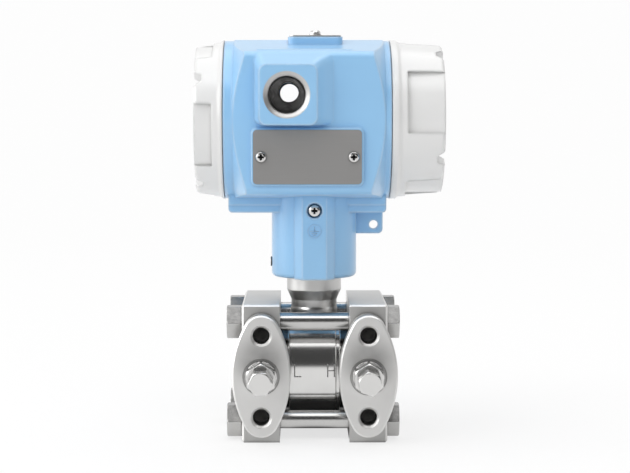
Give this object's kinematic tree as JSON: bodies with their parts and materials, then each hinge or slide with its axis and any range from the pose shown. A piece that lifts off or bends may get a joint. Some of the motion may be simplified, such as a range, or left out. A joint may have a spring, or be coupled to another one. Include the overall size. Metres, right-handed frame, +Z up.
{
  "type": "differential pressure transmitter",
  "caption": "Differential pressure transmitter: flanged stainless measuring cell under a turnable two-compartment cast housing with screw covers, conduit entries and a vent on each side.",
  "frame": {"origin": "on the plane of the flange feet, midway between the two flanges, under the neck axis", "axes": "+Z up along the neck, +Y towards the rear process connections, +X towards the display cover and the high-pressure flange"},
  "size_m": [0.1271, 0.1254, 0.2097],
  "materials": {
    "stainless_cast": "machined and fine-blasted stainless steel, satin",
    "stainless_turned": "turned stainless steel, polished",
    "stainless_fasteners": "stainless steel fasteners, half bright",
    "screw_metal": "plated screws, bright",
    "dark_screw": "blackened set screw",
    "gasket": "white PTFE",
    "seal_rubber": "black rubber",
    "blue_coating": "sky-blue powder coat on cast aluminium, semi-gloss",
    "white_coating": "warm white powder coat on cast aluminium, semi-gloss",
    "plate_metal": "blank grey plate, satin",
    "flap_metal": "thin stainless sheet, bright",
    "key_plastic": "dark grey moulded plastic",
    "black_plastic": "black moulded plastic",
    "module_plastic": "dark grey moulded plastic",
    "lcd": "liquid crystal panel, grey-green",
    "window": "clear toughened glass"
  },
  "bodies": {
    "process_unit": {"flange_high": "stainless_cast", "flange_low": "stainless_cast", "flange_bolts": "stainless_fasteners", "flange_nuts": "stainless_fasteners", "measuring_cell": "stainless_turned", "diaphragm_high": "stainless_turned", "diaphragm_low": "stainless_turned", "overload_diaphragm": "stainless_turned", "gasket_high": "gasket", "gasket_low": "gasket", "vent_plug_high": "stainless_fasteners", "vent_plug_low": "stainless_fasteners", "neck_adapter": "stainless_turned", "neck_o_ring": "seal_rubber", "sensor_capsule": "stainless_turned"},
    "vent_screw_high": {"vent_screw_high": "stainless_fasteners"},
    "vent_screw_low": {"vent_screw_low": "stainless_fasteners"},
    "housing": {"housing": "blue_coating", "nameplate": "plate_metal", "nameplate_screws": "screw_metal", "earth_screw": "screw_metal", "neck_lock_screw": "dark_screw", "key_spring_front": "screw_metal", "key_spring_middle": "screw_metal", "key_spring_rear": "screw_metal", "flap_washer": "screw_metal", "flap_screw": "screw_metal", "terminal_block": "black_plastic", "terminal_screws": "screw_metal", "terminal_block_screws": "screw_metal", "inner_earth_screw": "screw_metal", "electronics_module": "module_plastic", "module_screws": "screw_metal", "display_module": "module_plastic", "display_lcd": "lcd"},
    "key_flap": {"key_flap": "flap_metal"},
    "key_front": {"key_front": "key_plastic"},
    "key_middle": {"key_middle": "key_plastic"},
    "key_rear": {"key_rear": "key_plastic"},
    "terminal_seal": {"terminal_o_ring": "seal_rubber"},
    "terminal_cover": {"terminal_cover": "white_coating"},
    "display_seal": {"display_o_ring": "seal_rubber"},
    "display_cover": {"display_cover": "white_coating", "window_glass": "window", "window_ring": "flap_metal"}
  },
  "joints": [
    {"name": "housing_turn", "type": "hinge", "parent": "process_unit", "child": "housing", "pos_m": [0, 0, 0.09], "axis": [0, 0, 1], "range_deg": [-190, 190]},
    {"name": "terminal_cover_travel", "type": "slide", "parent": "housing", "child": "terminal_seal", "axis": [-1, 0, 0], "range_m": [0, 0.0081]},
    {"name": "terminal_cover_turn", "type": "hinge", "parent": "terminal_seal", "child": "terminal_cover", "pos_m": [-0.05, 0, 0.1637], "axis": [-1, 0, 0], "range_deg": [0, 1440]},
    {"name": "display_cover_travel", "type": "slide", "parent": "housing", "child": "display_seal", "axis": [1, 0, 0], "range_m": [0, 0.0081]},
    {"name": "display_cover_turn", "type": "hinge", "parent": "display_seal", "child": "display_cover", "pos_m": [0.045, 0, 0.1637], "axis": [1, 0, 0], "range_deg": [0, 1440]},
    {"name": "key_flap_swing", "type": "hinge", "parent": "housing", "child": "key_flap", "pos_m": [0.0005, -0.0145, 0.2062], "axis": [0, 0, 1], "range_deg": [-120, 120]},
    {"name": "vent_high_turn", "type": "hinge", "parent": "process_unit", "child": "vent_screw_high", "pos_m": [0.027, -0.06, 0.0352], "axis": [0, -1, 0], "range_deg": [0, 360]},
    {"name": "vent_low_turn", "type": "hinge", "parent": "process_unit", "child": "vent_screw_low", "pos_m": [-0.027, -0.06, 0.0352], "axis": [0, -1, 0], "range_deg": [0, 360]},
    {"name": "key_front_press", "type": "slide", "parent": "housing", "child": "key_front", "axis": [0, 0, -1], "range_m": [0, 0.0012], "stiffness_N_per_m": 800, "springref_m": -0.0006, "deforming": ["key_spring_front"]},
    {"name": "key_middle_press", "type": "slide", "parent": "housing", "child": "key_middle", "axis": [0, 0, -1], "range_m": [0, 0.0012], "stiffness_N_per_m": 800, "springref_m": -0.0006, "deforming": ["key_spring_middle"]},
    {"name": "key_rear_press", "type": "slide", "parent": "housing", "child": "key_rear", "axis": [0, 0, -1], "range_m": [0, 0.0012], "stiffness_N_per_m": 800, "springref_m": -0.0006, "deforming": ["key_spring_rear"]}
  ],
  "couplings": [
    {"joint": "terminal_cover_travel", "follows": "terminal_cover_turn", "m_per_rad": 0.00031831},
    {"joint": "display_cover_travel", "follows": "display_cover_turn", "m_per_rad": 0.00031831}
  ]
}
